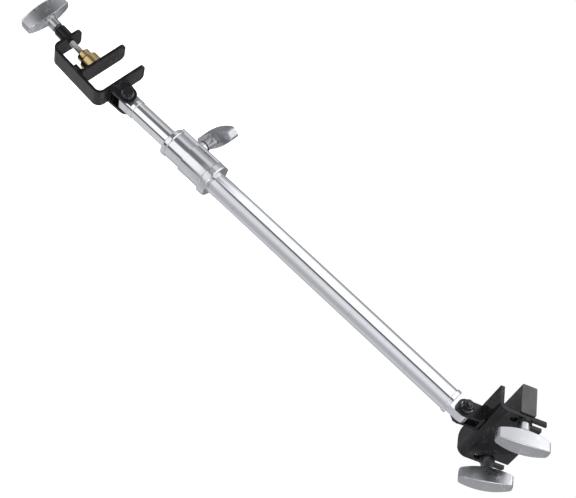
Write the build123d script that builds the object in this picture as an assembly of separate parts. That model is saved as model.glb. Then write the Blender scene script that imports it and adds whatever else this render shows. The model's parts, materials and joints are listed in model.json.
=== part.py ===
"""Telescopic stand brace: two sliding tubes, a C-clamp at one end and a two-handle beam clamp at the other.

Millimetres, +Z up. The origin is the middle of the C-clamp's seat, the face that rests on what it grips,
on the clamp screw's axis. The arm rises from the seat leg and leans a few degrees towards +X.
"""

import os
from math import cos, radians, sin

from build123d import *

# Flat bar of the C-clamp
STRIP_WIDTH = 30.0
STRIP_THICKNESS = 4.0
STRIP_BEND = 7.0            # inside bend radius
STRIP_CORNER = 7.0          # rounded corners at the free ends
BACK_REACH = 31.5           # screw axis to the outside of the back
SEAT_REACH = 47.0           # screw axis to the tip of the seat leg
SCREW_LEG_REACH = 16.5      # screw axis to the tip of the screw leg
THROAT_HEIGHT = 87.0        # inside height between the two legs

# Sliding jaw
JAW_THICKNESS = 4.0
JAW_OPENING = 35.5          # seat to jaw as stored
JAW_FOOT = 15.0             # height of the jaw's short leg
JAW_FOOT_BEND = 3.5
JAW_GAP = 0.2               # jaw to the back of the C
JAW_TIP_PAST_SEAT = 0.5

# Clamp screw, boss and swivel
SCREW_RADIUS = 4.0
RUNNING_CLEARANCE = 0.05
BOSS_RADIUS = 8.5
BOSS_LENGTH = 22.0
BOSS_CHAMFER = 1.2
HANDLE_STANDOFF = 3.0       # boss to handle hub as stored
SWIVEL_BASE_RADIUS = 13.5
SWIVEL_BASE_HEIGHT = 15.0
SWIVEL_COLLAR_RADIUS = 9.3
SWIVEL_COLLAR_HEIGHT = 9.0
SWIVEL_NECK_RADIUS = 7.6
SWIVEL_NECK_HEIGHT = 1.6
SWIVEL_PIN_RADIUS = 1.5
SCREW_GROOVE_DEPTH = 1.2
SCREW_TIP_GAP = 1.0

# Cast T-handle, four alike
HANDLE_LENGTH = 67.0
HANDLE_MIDDLE_HEIGHT = 22.0
HANDLE_END_HEIGHT = 14.0
HANDLE_MIDDLE_WIDTH = 22.0
HANDLE_END_WIDTH = 13.0
HANDLE_EDGE = 1.2
HANDLE_END_CORNER = 4.5
HUB_LENGTH = 15.0
HUB_RADIUS = 7.5
HUB_FLARE_RADIUS = 9.0
HUB_FLARE_HEIGHT = 3.0
HANDLE_SOCKET = 14.0        # depth of the screw in the casting
HUB_FACE_GAP = 0.05         # beam clamp's washers to the handles' hubs

# Pivots
PIVOT_RADIUS = 4.0
EAR_THICKNESS = 4.0
EAR_RADIUS = 12.0
TONGUE_SIDE_GAP = 0.15
BRACKET_BASE = 4.0
SEAT_PIVOT_HEIGHT = 20.3    # outside of the seat leg to the pivot
SEAT_BRACKET_HALF = 14.0
SEAT_TONGUE_SIDE_GAP = 0.3
SEAT_TONGUE_RADIUS = 11.5
WASHER_THICKNESS = 1.6
WASHER_RADIUS = 8.0
NUT_HEIGHT = 6.5
NUT_ACROSS_FLATS = 13.0
BOLT_HEAD_HEIGHT = 5.3
BOLT_END_PAST_NUT = 2.5
BOLT_END_CHAMFER = 0.8

# Telescopic arm
ARM_TILT = 3.75             # degrees from +Z towards +X
ARM_LENGTH = 582.0          # pivot to pivot as stored
INNER_RADIUS = 12.5
INNER_WALL = 1.25
INNER_LENGTH = 450.0
TUBE_GAP = 1.0              # between the two tubes
OUTER_WALL = 1.5
FITTING_RING_HEIGHT = 6.0
INNER_RING_STEP = 0.9       # fitting rings proud of their tubes
OUTER_RING_STEP = 1.4
SPIGOT_LENGTH = 24.0
INNER_FITTING_TOP = 20.0    # pivot to the end of the inner tube
OUTER_FITTING_DROP = 22.0   # far pivot back to the end of the outer tube
TUBE_BUSH_LENGTH = 14.0
TUBE_BUSH_CLEARANCE = 0.1

# Locking collar on the outer tube
COLLAR_START = 80.0         # pivot to the collar's near end
COLLAR_LENGTH = 80.0
COLLAR_UPPER_WALL = 3.6     # collar walls outside the outer tube
COLLAR_LOWER_WALL = 5.5
COLLAR_SEAM = 33.0          # near end to the seam
TOP_FLANGE_WALL = 5.0
TOP_FLANGE_HEIGHT = 8.0
BOTTOM_FLANGE_WALL = 8.5
BOTTOM_FLANGE_HEIGHT = 12.0
RIB_WALL = 9.0
RIB_HALF_WIDTH = 10.0
RIB_EDGE = 4.0
COLLAR_LIP = 2.0
COLLAR_BUSH_LENGTH = 14.0
LOCK_BOSS_RADIUS = 9.0
LOCK_BOSS_HEIGHT = 3.0
COLLAR_ROLL = -10.0         # degrees about the arm from +X
LOCK_RING_RADIUS = 8.4
LOCK_RING_HEIGHT = 3.0
LOCK_SHOE_LENGTH = 6.0
LOCK_SHOE_GAP = 0.1
LOCK_HANDLE_TURN = 57.0     # degrees from the arm axis towards +Y

# Beam clamp
BEAM_TWIST = -16.2          # degrees about the arm
BEAM_LEAN = 29.5            # degrees about the far pivot
BEAM_PIVOT_HEIGHT = 24.7    # far pivot to the outside of the flange
PLATE_THICKNESS = 5.0
PLATE_LENGTH = 113.0
PLATE_SHIFT = -6.5          # middle of the plate from the bracket, along the plate
PLATE_BEND = 7.0            # inside bend radius
PLATE_REACH = 63.5          # outside of the flange to the free edge
FLANGE_HEIGHT = 34.7        # underside of the base to the top of the flange
PIVOT_ABOVE_BASE = 15.5     # underside of the base to the pivot
FLANGE_NEAR_CORNER = 1.5
FLANGE_FAR_CORNER = 10.0
EYE_RADIUS = 12.0
EYE_WIDTH = 12.4
BEAM_BRACKET_HALF = 11.0
BEAM_BRACKET_BASE = 27.0      # width of the bracket's foot across its ears
SLOT_WIDTH = 9.5
SLOT_INNER_END = 19.0       # outside of the flange to the closed end of a slot
SLOT_TO_PLATE_END = 10.0
BAR_WIDTH = 20.0
BAR_HEIGHT = 42.0
BAR_WALL = 2.5
BAR_CORNER = 2.0
BAR_CENTRE = 37.0           # outside of the flange to the middle of the bar as stored
BAR_LIFT = 0.1
CAP_THICKNESS = 2.0
CAP_PLUG_DEPTH = 3.5
NUT_PLATE_LENGTH = 22.0
NUT_PLATE_SHIFT = 5.0       # studs to the middle of the nut plates, inwards
STUD_ENGAGEMENT = 12.0      # stud inside the handle as stored
NUT_PLATE_HEIGHT = 8.0
BEAM_WASHER_RADIUS = 10.0
BEAM_WASHER_THICKNESS = 2.0
STUD_RADIUS = 4.0
HANDLE_A_TURN = 5.0         # degrees from the base's reach direction, about the stud
HANDLE_B_TURN = 18.0

# Derived sizes and places
STRIP_HALF = STRIP_WIDTH / 2
EAR_OUTSIDE = STRIP_HALF
EAR_INSIDE = EAR_OUTSIDE - EAR_THICKNESS
SEAT_TONGUE_WIDTH = 2 * (EAR_INSIDE - SEAT_TONGUE_SIDE_GAP)
OUTER_RADIUS = INNER_RADIUS + TUBE_GAP + OUTER_WALL
INNER_RING_RADIUS = INNER_RADIUS + INNER_RING_STEP
OUTER_RING_RADIUS = OUTER_RADIUS + OUTER_RING_STEP
COLLAR_BUSH_WALL = TUBE_GAP + OUTER_WALL
COLLAR_UPPER_RADIUS = OUTER_RADIUS + COLLAR_UPPER_WALL
COLLAR_LOWER_RADIUS = OUTER_RADIUS + COLLAR_LOWER_WALL
TOP_FLANGE_RADIUS = OUTER_RADIUS + TOP_FLANGE_WALL
BOTTOM_FLANGE_RADIUS = OUTER_RADIUS + BOTTOM_FLANGE_WALL
RIB_REACH = OUTER_RADIUS + RIB_WALL
SLOT_SPACING = PLATE_LENGTH - 2 * SLOT_TO_PLATE_END
SEAT_PIVOT_Z = STRIP_THICKNESS + SEAT_PIVOT_HEIGHT
BACK_INSIDE = BACK_REACH - STRIP_THICKNESS
SCREW_LEG_OUTSIDE = -THROAT_HEIGHT - STRIP_THICKNESS
BOSS_END = SCREW_LEG_OUTSIDE - BOSS_LENGTH
HUB_START = BOSS_END - HANDLE_STANDOFF
JAW_BACK_Z = -JAW_OPENING - JAW_THICKNESS
SWIVEL_COLLAR_TOP = SWIVEL_BASE_HEIGHT + SWIVEL_NECK_HEIGHT + SWIVEL_COLLAR_HEIGHT
ARM_PLACE = Location((0, 0, SEAT_PIVOT_Z), (0, ARM_TILT, 0))
COLLAR_PLACE = ARM_PLACE * Rot(0, 0, COLLAR_ROLL)
FAR_PIVOT_PLACE = ARM_PLACE * Location((0, 0, ARM_LENGTH), (0, 0, BEAM_TWIST))
BEAM_PLACE = FAR_PIVOT_PLACE * Rot(0, BEAM_LEAN, 0)
CLAMP_PLACE = BEAM_PLACE * Pos(0, PLATE_SHIFT, 0)
OUTER_BORE = OUTER_RADIUS - OUTER_WALL
INNER_BORE = INNER_RADIUS - INNER_WALL
OUTER_START = COLLAR_START + COLLAR_LIP + COLLAR_BUSH_LENGTH
OUTER_END = ARM_LENGTH - OUTER_FITTING_DROP
LOCK_AXIS = COLLAR_START + COLLAR_SEAM
LOCK_SCREW_START = INNER_RADIUS + LOCK_SHOE_GAP + LOCK_SHOE_LENGTH
LOCK_HUB_START = RIB_REACH + LOCK_BOSS_HEIGHT + LOCK_RING_HEIGHT
BASE_UNDER = -PIVOT_ABOVE_BASE
BASE_TOP = BASE_UNDER + PLATE_THICKNESS
FLANGE_OUT = BEAM_PIVOT_HEIGHT
EYE_EAR_INSIDE = EYE_WIDTH / 2 + TONGUE_SIDE_GAP
STUD_Z = FLANGE_OUT + BAR_CENTRE
BEAM_WASHER_FACE = BASE_UNDER - BEAM_WASHER_THICKNESS
BEAM_HUB_START = BEAM_WASHER_FACE - HUB_FACE_GAP


def cylinder(radius, start, end):
    """Cylinder about Z between two heights."""
    return Pos(0, 0, (start + end) / 2) * Cylinder(radius, end - start)


def ring(outer, inner, start, end):
    """Tube about Z between two heights."""
    return cylinder(outer, start, end) - cylinder(inner, start - 1, end + 1)


def block(low, high):
    """Box from its lowest to its highest corner."""
    size = [b - a for a, b in zip(low, high)]
    centre = [(a + b) / 2 for a, b in zip(low, high)]
    return Pos(*centre) * Box(*size)


def along_x(x, y, z):
    """Place whose local Z points along +X."""
    return Location(Plane(origin=(x, y, z), x_dir=(0, 0, -1), z_dir=(1, 0, 0)))


def along_y(x, y, z):
    """Place whose local Z points along +Y."""
    return Location(Plane(origin=(x, y, z), x_dir=(1, 0, 0), z_dir=(0, 1, 0)))


def bent_strip(points, thickness, inside_bend, width):
    """Flat bar that follows the outside line of its profile in the XZ plane, with round bends.

    The strip lies to the left of the direction of travel.
    """
    outline = Polyline(*points)
    corners = outline.vertices()[1:-1]
    path = FilletPolyline(*points, radius=inside_bend + thickness) if corners else outline
    inner = offset_2d_path(points, thickness, inside_bend)
    face = make_face(path.edges() + inner.edges() + [
        Line(points[0], inner @ 0),
        Line(points[-1], inner @ 1),
    ])
    return extrude(Plane.XZ * face, amount=width / 2, both=True)


def offset_2d_path(points, distance, radius):
    """Parallel line on the left of a path that turns by right angles, with its bends rounded."""
    count = len(points)
    steps = []
    for start, end in zip(points, points[1:]):
        length = ((end[0] - start[0]) ** 2 + (end[1] - start[1]) ** 2) ** 0.5
        steps.append(((end[0] - start[0]) / length, (end[1] - start[1]) / length))
    moved = []
    for index in range(count):
        before = steps[max(index - 1, 0)]
        after = steps[min(index, count - 2)]
        sides = [before] if before == after else [before, after]
        shift_x = sum(-side[1] for side in sides) * distance
        shift_y = sum(side[0] for side in sides) * distance
        moved.append((points[index][0] + shift_x, points[index][1] + shift_y))
    return FilletPolyline(*moved, radius=radius)


def round_tip(strip, x, z_low, z_high):
    """Round the two upright corners of a strip's free end."""
    tip = [e for e in strip.edges().filter_by(Axis.Z) if abs(e.center().X - x) < 0.01]
    tip = [e for e in tip if z_low - 0.1 < e.center().Z < z_high + 0.1]
    return fillet(tip, STRIP_CORNER)


def barrel_face(length, middle, end):
    """Outline with straight ends and two bowed long sides."""
    half = length / 2
    upper = ThreePointArc((-half, end / 2), (0, middle / 2), (half, end / 2))
    lower = ThreePointArc((half, -end / 2), (0, -middle / 2), (-half, -end / 2))
    return make_face([upper, Line(upper @ 1, lower @ 0), lower, Line(lower @ 1, upper @ 0)])


def t_handle(screw_radius):
    """Cast T-handle: its hub ends at the origin and the screw leaves along +Z."""
    middle = -HUB_LENGTH - HANDLE_MIDDLE_HEIGHT / 2
    side = extrude(Plane.XZ * barrel_face(HANDLE_LENGTH, HANDLE_MIDDLE_HEIGHT, HANDLE_END_HEIGHT),
                   amount=HANDLE_MIDDLE_WIDTH, both=True)
    plan = extrude(barrel_face(HANDLE_LENGTH, HANDLE_MIDDLE_WIDTH, HANDLE_END_WIDTH),
                   amount=HANDLE_MIDDLE_HEIGHT, both=True)
    bar = side & plan
    bar = fillet(bar.edges().filter_by(Axis.Z), HANDLE_END_CORNER)
    bar = Pos(0, 0, middle) * fillet(bar.edges(), HANDLE_EDGE)
    neck = make_face(Polyline(
        (0, 0), (HUB_RADIUS, 0), (HUB_RADIUS, -HUB_LENGTH + HUB_FLARE_HEIGHT),
        (HUB_FLARE_RADIUS, -HUB_LENGTH), (HUB_FLARE_RADIUS, middle), (0, middle), close=True))
    hub = revolve(Plane.XZ * neck, Axis.Z)
    return bar + hub - cylinder(screw_radius, -HANDLE_SOCKET, 1)


def hexagon_prism(across, start, end):
    """Hexagonal prism about Z with its corners turned off."""
    radius = across / 2 / cos(radians(30))
    prism = Pos(0, 0, start) * extrude(RegularPolygon(radius, 6), end - start)
    crown = cylinder(radius, start, end)
    return prism & chamfer(crown.edges(), (radius - across / 2) * 0.9)


def c_frame():
    """Flat bar bent to a C, with the seat leg on top and the screw leg below."""
    strip = bent_strip(
        [(SCREW_LEG_REACH, SCREW_LEG_OUTSIDE), (-BACK_REACH, SCREW_LEG_OUTSIDE),
         (-BACK_REACH, STRIP_THICKNESS), (SEAT_REACH, STRIP_THICKNESS)][::-1],
        STRIP_THICKNESS, STRIP_BEND, STRIP_WIDTH)
    strip = round_tip(strip, SEAT_REACH, 0, STRIP_THICKNESS)
    strip = round_tip(strip, SCREW_LEG_REACH, SCREW_LEG_OUTSIDE, -THROAT_HEIGHT)
    return strip - cylinder(SCREW_RADIUS + RUNNING_CLEARANCE, SCREW_LEG_OUTSIDE - 1, -THROAT_HEIGHT + 1)


def screw_boss():
    """Threaded boss welded under the screw leg."""
    boss = cylinder(BOSS_RADIUS, BOSS_END, SCREW_LEG_OUTSIDE)
    lower = boss.faces().sort_by(Axis.Z)[0].edges()
    boss = chamfer(lower, BOSS_CHAMFER)
    return boss - cylinder(SCREW_RADIUS + RUNNING_CLEARANCE, BOSS_END - 1, SCREW_LEG_OUTSIDE + 1)


def ear(thickness, radius, root, root_half):
    """Plate with a round end at the origin and a straight root, with the pivot hole, centred on Y."""
    plate = make_hull([
        *Circle(radius).edges(),
        *Polyline((-root_half, root), (root_half, root)).edges(),
    ])
    solid = extrude(Plane.XZ * plate, amount=thickness / 2, both=True)
    return solid - along_y(0, 0, 0) * cylinder(PIVOT_RADIUS + RUNNING_CLEARANCE, -thickness, thickness)


def bracket(root, base_half, inside, outside, base_width):
    """U-bracket: two ears on a base at height root, below the pivot when root is negative."""
    side = 1 if root > 0 else -1
    ears = [Pos(0, sign * (inside + outside) / 2, 0) * ear(outside - inside, EAR_RADIUS, root, base_half)
            for sign in (1, -1)]
    heights = sorted((root, root - side * BRACKET_BASE))
    base = block((-base_half, -base_width / 2, heights[0]), (base_half, base_width / 2, heights[1]))
    return ears[0] + ears[1] + base


def seat_bracket():
    """U-bracket on the outside of the seat leg."""
    seat = bracket(-SEAT_PIVOT_HEIGHT, SEAT_BRACKET_HALF, EAR_INSIDE, EAR_OUTSIDE, STRIP_WIDTH)
    return Pos(0, 0, SEAT_PIVOT_Z) * seat


def sliding_jaw():
    """L-shaped jaw: the long leg presses upwards, the short one runs on the back of the C."""
    heel = -BACK_INSIDE + JAW_GAP
    tip = SEAT_REACH + JAW_TIP_PAST_SEAT
    jaw = bent_strip(
        [(tip, -JAW_OPENING), (heel, -JAW_OPENING), (heel, -JAW_OPENING - JAW_FOOT)],
        JAW_THICKNESS, JAW_FOOT_BEND, STRIP_WIDTH)
    return round_tip(jaw, tip, JAW_BACK_Z, -JAW_OPENING)


def brass_swivel():
    """Stepped brass swivel under the jaw, bored for the screw's tip and its keeper pin."""
    body = cylinder(SWIVEL_BASE_RADIUS, -SWIVEL_BASE_HEIGHT, 0)
    body = fillet(body.edges().filter_by(GeomType.CIRCLE).sort_by(Axis.Z)[0], 2.0)
    neck_low = -SWIVEL_BASE_HEIGHT - SWIVEL_NECK_HEIGHT
    body += cylinder(SWIVEL_NECK_RADIUS, neck_low, -SWIVEL_BASE_HEIGHT)
    collar = cylinder(SWIVEL_COLLAR_RADIUS, -SWIVEL_COLLAR_TOP, neck_low)
    body += fillet(collar.edges().filter_by(GeomType.CIRCLE), 1.2)
    body -= cylinder(SCREW_RADIUS + RUNNING_CLEARANCE, -SWIVEL_COLLAR_TOP - 1, -SWIVEL_BASE_HEIGHT / 2)
    return Pos(0, 0, JAW_BACK_Z) * (body - swivel_pin_local(SWIVEL_PIN_RADIUS, SWIVEL_BASE_RADIUS * 2))


def swivel_pin_local(radius, length):
    """Keeper pin beside the screw, across the swivel's collar."""
    offset = SCREW_RADIUS - SCREW_GROOVE_DEPTH + SWIVEL_PIN_RADIUS + RUNNING_CLEARANCE
    height = -SWIVEL_BASE_HEIGHT - SWIVEL_NECK_HEIGHT - SWIVEL_COLLAR_HEIGHT / 2
    return Pos(offset, 0, height) * along_y(0, 0, 0) * cylinder(radius, -length / 2, length / 2)


def swivel_pin():
    """Steel keeper pin, flush with the swivel's collar."""
    length = 2 * (SWIVEL_COLLAR_RADIUS ** 2 - (SCREW_RADIUS + SWIVEL_PIN_RADIUS) ** 2) ** 0.5
    return Pos(0, 0, JAW_BACK_Z) * swivel_pin_local(SWIVEL_PIN_RADIUS, length)


def clamp_screw():
    """Screw from the handle's socket to the swivel, with the groove that the keeper pin holds."""
    tip = JAW_BACK_Z - SWIVEL_BASE_HEIGHT / 2 - SCREW_TIP_GAP
    screw = cylinder(SCREW_RADIUS, HUB_START - HANDLE_SOCKET, tip)
    groove_centre = JAW_BACK_Z - SWIVEL_BASE_HEIGHT - SWIVEL_NECK_HEIGHT - SWIVEL_COLLAR_HEIGHT / 2
    half = SWIVEL_PIN_RADIUS + RUNNING_CLEARANCE
    root = SCREW_RADIUS - SCREW_GROOVE_DEPTH
    return screw - ring(SCREW_RADIUS + 1, root, groove_centre - half, groove_centre + half)


def clamp_handle():
    """T-handle of the clamp screw."""
    return Pos(0, 0, HUB_START) * Rot(0, 0, 6) * t_handle(SCREW_RADIUS)


def pivot_bolt(outside):
    """Hexagon bolt along Y through a bracket, head on -Y."""
    seat = outside + WASHER_THICKNESS
    shank = cylinder(PIVOT_RADIUS, -seat, seat + NUT_HEIGHT + BOLT_END_PAST_NUT)
    shank = chamfer(shank.edges().sort_by(Axis.Z)[-1], BOLT_END_CHAMFER)
    return along_y(0, 0, 0) * (shank + hexagon_prism(NUT_ACROSS_FLATS, -seat - BOLT_HEAD_HEIGHT, -seat))


def pivot_nut(outside):
    """Lock nut on the bolt's +Y end."""
    seat = outside + WASHER_THICKNESS
    nut = hexagon_prism(NUT_ACROSS_FLATS, seat, seat + NUT_HEIGHT)
    return along_y(0, 0, 0) * (nut - cylinder(PIVOT_RADIUS, seat - 1, seat + NUT_HEIGHT + 1))


def pivot_washers(outside):
    """Washer under the head and washer under the nut."""
    washers = [ring(WASHER_RADIUS, PIVOT_RADIUS + RUNNING_CLEARANCE, start, start + WASHER_THICKNESS)
               for start in (outside, -outside - WASHER_THICKNESS)]
    return Compound(children=[along_y(0, 0, 0) * washer for washer in washers])


def seat_fitting():
    """Chromed end fitting of the inner tube: a tongue on the pivot, a ring and a spigot."""
    ring_start = INNER_FITTING_TOP - FITTING_RING_HEIGHT
    half = SEAT_TONGUE_WIDTH / 2
    tongue = along_y(0, 0, 0) * cylinder(SEAT_TONGUE_RADIUS, -half, half)
    tongue += block((-SEAT_TONGUE_RADIUS, -half, 0), (SEAT_TONGUE_RADIUS, half, ring_start + 0.5))
    tongue &= cylinder(INNER_RING_RADIUS, -INNER_FITTING_TOP, ring_start + 0.5)
    shoulder = cylinder(INNER_RING_RADIUS, ring_start, INNER_FITTING_TOP)
    shoulder = fillet(shoulder.edges().filter_by(GeomType.CIRCLE), 0.8)
    spigot = cylinder(INNER_BORE, INNER_FITTING_TOP - 1, INNER_FITTING_TOP + SPIGOT_LENGTH)
    body = tongue + shoulder + spigot
    return body - along_y(0, 0, 0) * cylinder(PIVOT_RADIUS + RUNNING_CLEARANCE, -half - 1, half + 1)


def inner_tube():
    """Thinner tube that slides in the arm."""
    return ring(INNER_RADIUS, INNER_BORE, INNER_FITTING_TOP, INNER_FITTING_TOP + INNER_LENGTH)


def inner_tube_bush():
    """Nylon guide pressed on the hidden end of the inner tube."""
    end = INNER_FITTING_TOP + INNER_LENGTH
    head = ring(OUTER_BORE - TUBE_BUSH_CLEARANCE, INNER_BORE - 2, end, end + TUBE_BUSH_LENGTH / 2)
    return head + ring(INNER_BORE, INNER_BORE - 2, end - TUBE_BUSH_LENGTH, end + 1)


def collar_bush():
    """Nylon bush in the collar's mouth, turning with the inner tube."""
    start = COLLAR_START + COLLAR_LIP
    outside = INNER_RADIUS + COLLAR_BUSH_WALL
    return ring(outside, INNER_RADIUS + RUNNING_CLEARANCE, start, start + COLLAR_BUSH_LENGTH)


def collar_section(radius, reach, start, end):
    """Length of the collar: round, with the thick rib of the lock screw on +X."""
    rib = block((0, -RIB_HALF_WIDTH, start), (reach, RIB_HALF_WIDTH, end))
    rib = fillet(rib.edges().filter_by(Axis.Z).sort_by(Axis.X)[-2:], RIB_EDGE)
    return cylinder(radius, start, end) + rib


def collar_body():
    """Cast locking collar fixed on the mouth of the outer tube."""
    seam = COLLAR_START + COLLAR_SEAM
    end = COLLAR_START + COLLAR_LENGTH
    body = collar_section(COLLAR_UPPER_RADIUS, RIB_REACH - 0.7, COLLAR_START, seam)
    body += collar_section(COLLAR_LOWER_RADIUS, RIB_REACH, seam, end)
    top = cylinder(TOP_FLANGE_RADIUS, COLLAR_START, COLLAR_START + TOP_FLANGE_HEIGHT)
    body += fillet(top.edges().filter_by(GeomType.CIRCLE), 2.0)
    bottom = cylinder(BOTTOM_FLANGE_RADIUS, end - BOTTOM_FLANGE_HEIGHT, end)
    body += fillet(bottom.edges().filter_by(GeomType.CIRCLE), 2.5)
    body += along_x(0, 0, seam) * cylinder(LOCK_BOSS_RADIUS, RIB_REACH - 4, RIB_REACH + LOCK_BOSS_HEIGHT)
    bush_end = COLLAR_START + COLLAR_LIP + COLLAR_BUSH_LENGTH
    body -= cylinder(INNER_RADIUS + 0.4, COLLAR_START - 1, COLLAR_START + COLLAR_LIP + 1)
    bush_bore = INNER_RADIUS + COLLAR_BUSH_WALL + RUNNING_CLEARANCE
    body -= cylinder(bush_bore, COLLAR_START + COLLAR_LIP, bush_end)
    body -= cylinder(OUTER_RADIUS, bush_end, end + 1)
    screw_hole = cylinder(SCREW_RADIUS + RUNNING_CLEARANCE, OUTER_RADIUS - 1, RIB_REACH + 10)
    return body - along_x(0, 0, LOCK_AXIS) * screw_hole


def outer_tube():
    """Thicker tube of the arm, pierced under the lock screw."""
    tube = ring(OUTER_RADIUS, OUTER_BORE, OUTER_START, OUTER_END)
    return tube - along_x(0, 0, LOCK_AXIS) * cylinder(SCREW_RADIUS + RUNNING_CLEARANCE, 0, OUTER_RADIUS + 1)


def lock_shoe():
    """Brass plug that the lock screw presses on the inner tube."""
    start = INNER_RADIUS + LOCK_SHOE_GAP
    return along_x(0, 0, LOCK_AXIS) * cylinder(SCREW_RADIUS, start, start + LOCK_SHOE_LENGTH)


def lock_screw():
    """Screw of the collar's lock, fixed in its handle."""
    end = LOCK_HUB_START + HANDLE_SOCKET
    return along_x(0, 0, LOCK_AXIS) * cylinder(SCREW_RADIUS, LOCK_SCREW_START, end)


def lock_rings():
    """Black spacer ring between the collar's boss and the handle's hub."""
    start = RIB_REACH + LOCK_BOSS_HEIGHT
    spacer = ring(LOCK_RING_RADIUS, SCREW_RADIUS, start, LOCK_HUB_START)
    return along_x(0, 0, LOCK_AXIS) * spacer


def lock_handle():
    """T-handle of the collar's lock."""
    turn = radians(LOCK_HANDLE_TURN)
    along = (0, sin(turn), cos(turn))
    place = Location(Plane(origin=(LOCK_HUB_START, 0, LOCK_AXIS), x_dir=along, z_dir=(-1, 0, 0)))
    return place * t_handle(SCREW_RADIUS)


def beam_fitting():
    """Chromed end fitting of the outer tube: a ring, a neck and a thick eye on the far pivot."""
    drop = OUTER_FITTING_DROP
    half = EYE_WIDTH / 2
    eye = along_y(0, 0, 0) * cylinder(EYE_RADIUS, -half, half)
    eye += block((-EYE_RADIUS, -half, -drop + 4), (EYE_RADIUS, half, 0))
    eye &= cylinder(OUTER_RING_RADIUS + 0.1, -drop, EYE_RADIUS + 1)
    shoulder = cylinder(OUTER_RING_RADIUS, -drop, -drop + FITTING_RING_HEIGHT)
    shoulder = fillet(shoulder.edges().filter_by(GeomType.CIRCLE), 1.0)
    body = eye + shoulder + cylinder(OUTER_BORE, -drop - SPIGOT_LENGTH, -drop + 1)
    body -= along_y(0, 0, 0) * cylinder(PIVOT_RADIUS + RUNNING_CLEARANCE, -half - 1, half + 1)
    return body


def beam_bracket():
    """U-bracket welded to the outside of the beam plate's flange."""
    outside = EYE_EAR_INSIDE + EAR_THICKNESS
    return bracket(FLANGE_OUT, BEAM_BRACKET_HALF, EYE_EAR_INSIDE, outside, BEAM_BRACKET_BASE)


def beam_plate():
    """Plate bent to an L: a low flange and a base with two slots open at its free edge."""
    flange_top = BASE_UNDER + FLANGE_HEIGHT
    free_edge = FLANGE_OUT + PLATE_REACH
    plate = bent_strip(
        [(BASE_UNDER, free_edge), (BASE_UNDER, FLANGE_OUT), (flange_top, FLANGE_OUT)],
        PLATE_THICKNESS, PLATE_BEND, PLATE_LENGTH)
    near = PLATE_LENGTH / 2
    top_edges = [e for e in plate.edges().filter_by(Axis.Z) if abs(e.center().X - flange_top) < 0.01]
    plate = fillet([e for e in top_edges if e.center().Y < 0], FLANGE_FAR_CORNER)
    top_edges = [e for e in plate.edges().filter_by(Axis.Z) if abs(e.center().X - flange_top) < 0.01]
    plate = fillet([e for e in top_edges if abs(e.center().Y - near) < 0.01], FLANGE_NEAR_CORNER)
    free_corners = [e for e in plate.edges().filter_by(Axis.X) if abs(e.center().Z - free_edge) < 0.01]
    plate = fillet(free_corners, 3.0)
    for sign in (1, -1):
        closed = FLANGE_OUT + SLOT_INNER_END + SLOT_WIDTH / 2
        centre = sign * SLOT_SPACING / 2
        cut = block((BASE_UNDER - 1, centre - SLOT_WIDTH / 2, closed),
                    (BASE_TOP + 1, centre + SLOT_WIDTH / 2, free_edge + 1))
        cut += along_x(0, centre, closed) * cylinder(SLOT_WIDTH / 2, BASE_UNDER - 1, BASE_TOP + 1)
        plate -= cut
    return plate


def bar_block(grow, low, high):
    """Rounded rectangular block of the bar's section, grown or shrunk all round, between two Y places."""
    half_w = BAR_WIDTH / 2 + grow
    bottom = BASE_TOP + BAR_LIFT - grow
    top = BASE_TOP + BAR_LIFT + BAR_HEIGHT + grow
    solid = block((bottom, low, STUD_Z - half_w), (top, high, STUD_Z + half_w))
    return fillet(solid.edges().filter_by(Axis.Y), max(BAR_CORNER + grow, 0.5))


def sliding_bar():
    """Rectangular tube that closes on the flange, with a hole for each stud."""
    half = PLATE_LENGTH / 2
    bar = bar_block(0, -half, half) - bar_block(-BAR_WALL, -half - 1, half + 1)
    for sign in (1, -1):
        hole = cylinder(STUD_RADIUS, BASE_TOP - 1, BASE_TOP + BAR_LIFT + BAR_WALL + 0.5)
        bar -= along_x(0, sign * SLOT_SPACING / 2, STUD_Z) * hole
    return bar


def bar_end_caps():
    """Plastic plugs that close the bar's ends."""
    half = PLATE_LENGTH / 2
    caps = []
    for low, high, plug_low, plug_high in (
            (half, half + CAP_THICKNESS, half - CAP_PLUG_DEPTH, half + 0.5),
            (-half - CAP_THICKNESS, -half, -half - 0.5, -half + CAP_PLUG_DEPTH)):
        caps.append(bar_block(0, low, high) + bar_block(-BAR_WALL, plug_low, plug_high))
    return Compound(children=caps)


def bar_nut_plates():
    """Threaded plates inside the bar, one over each stud hole."""
    bottom = BASE_TOP + BAR_LIFT + BAR_WALL
    half_w = BAR_WIDTH / 2 - BAR_WALL - 0.5
    plates = []
    for sign in (1, -1):
        centre = sign * (SLOT_SPACING / 2 - NUT_PLATE_SHIFT)
        plate = block((bottom, centre - NUT_PLATE_LENGTH / 2, STUD_Z - half_w),
                      (bottom + NUT_PLATE_HEIGHT, centre + NUT_PLATE_LENGTH / 2, STUD_Z + half_w))
        hole = cylinder(STUD_RADIUS, bottom - 1, bottom + NUT_PLATE_HEIGHT + 1)
        plates.append(plate - along_x(0, sign * SLOT_SPACING / 2, STUD_Z) * hole)
    return Compound(children=plates)


def beam_studs():
    """Two studs fixed in the bar's nut plates, running down through the slots."""
    top = BASE_TOP + BAR_LIFT + BAR_WALL + NUT_PLATE_HEIGHT
    bottom = BEAM_HUB_START - STUD_ENGAGEMENT
    stud = cylinder(STUD_RADIUS, bottom, top)
    return Compound(children=[along_x(0, sign * SLOT_SPACING / 2, STUD_Z) * stud for sign in (1, -1)])


def beam_washer(sign):
    """Washer under the base, pushed by a handle's hub."""
    washer = ring(BEAM_WASHER_RADIUS, STUD_RADIUS + RUNNING_CLEARANCE, BEAM_WASHER_FACE, BASE_UNDER)
    return along_x(0, sign * SLOT_SPACING / 2, STUD_Z) * washer


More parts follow.
